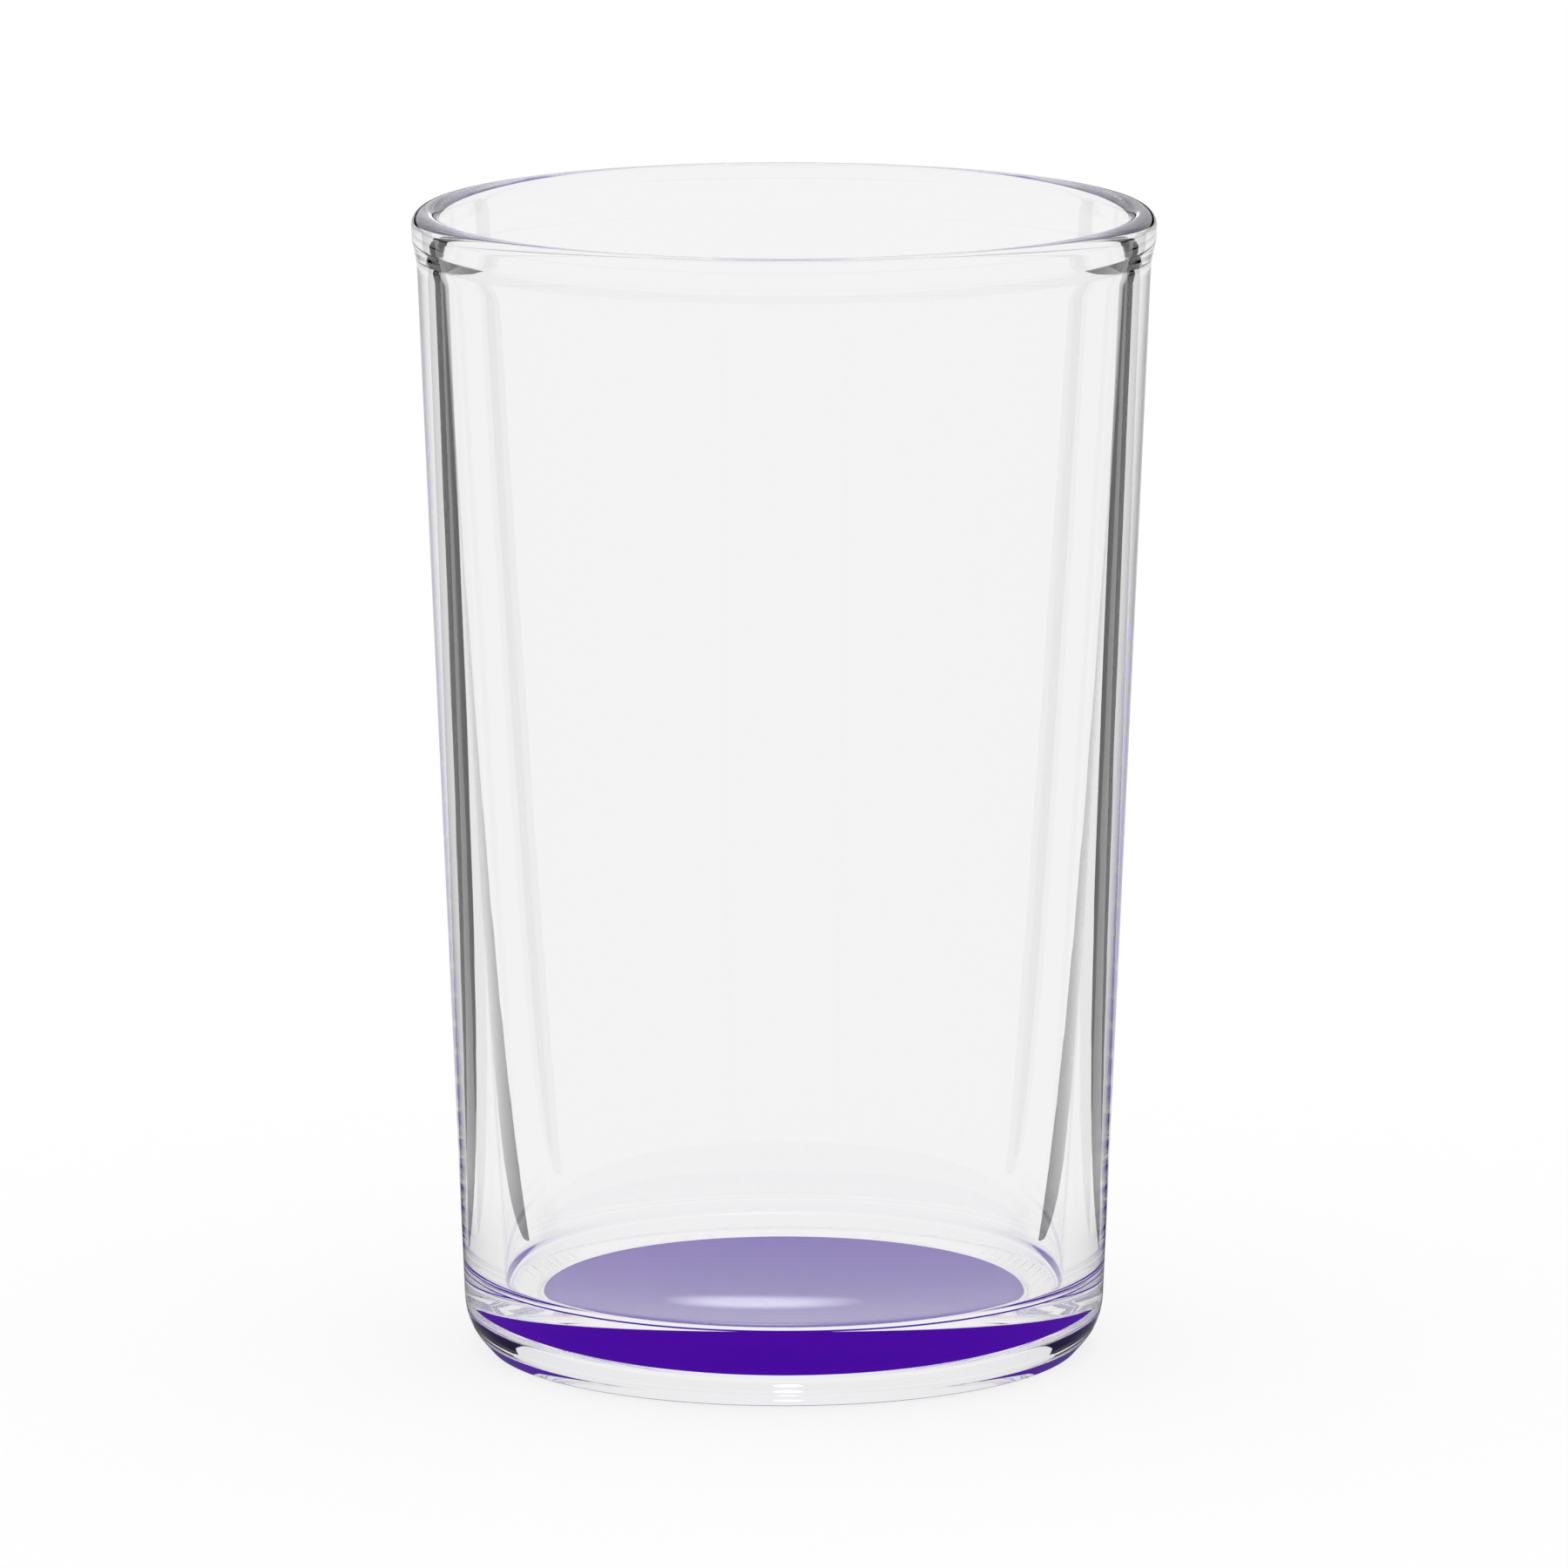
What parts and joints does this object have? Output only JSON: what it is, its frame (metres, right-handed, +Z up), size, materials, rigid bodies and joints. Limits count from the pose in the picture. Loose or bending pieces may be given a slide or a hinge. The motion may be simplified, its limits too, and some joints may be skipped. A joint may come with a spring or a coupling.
{
  "type": "sampler glass",
  "caption": "Small clear tapered drinking glass with a rounded rim, a thick base and a violet colour coat under the base, for tasting portions.",
  "frame": {"origin": "centre of the foot ring on the surface that the glass stands on", "axes": "+Z up along the axis of the glass, towards the rim; the glass is round, so +X and +Y are free"},
  "size_m": [0.0573, 0.0574, 0.089],
  "materials": {
    "clear_glass": "clear, fire-polished",
    "violet_lacquer": "sprayed lacquer film, glossy on the glass side"
  },
  "bodies": {
    "root": {"glass_body": "clear_glass", "base_colour_coat": "violet_lacquer"}
  },
  "joints": []
}
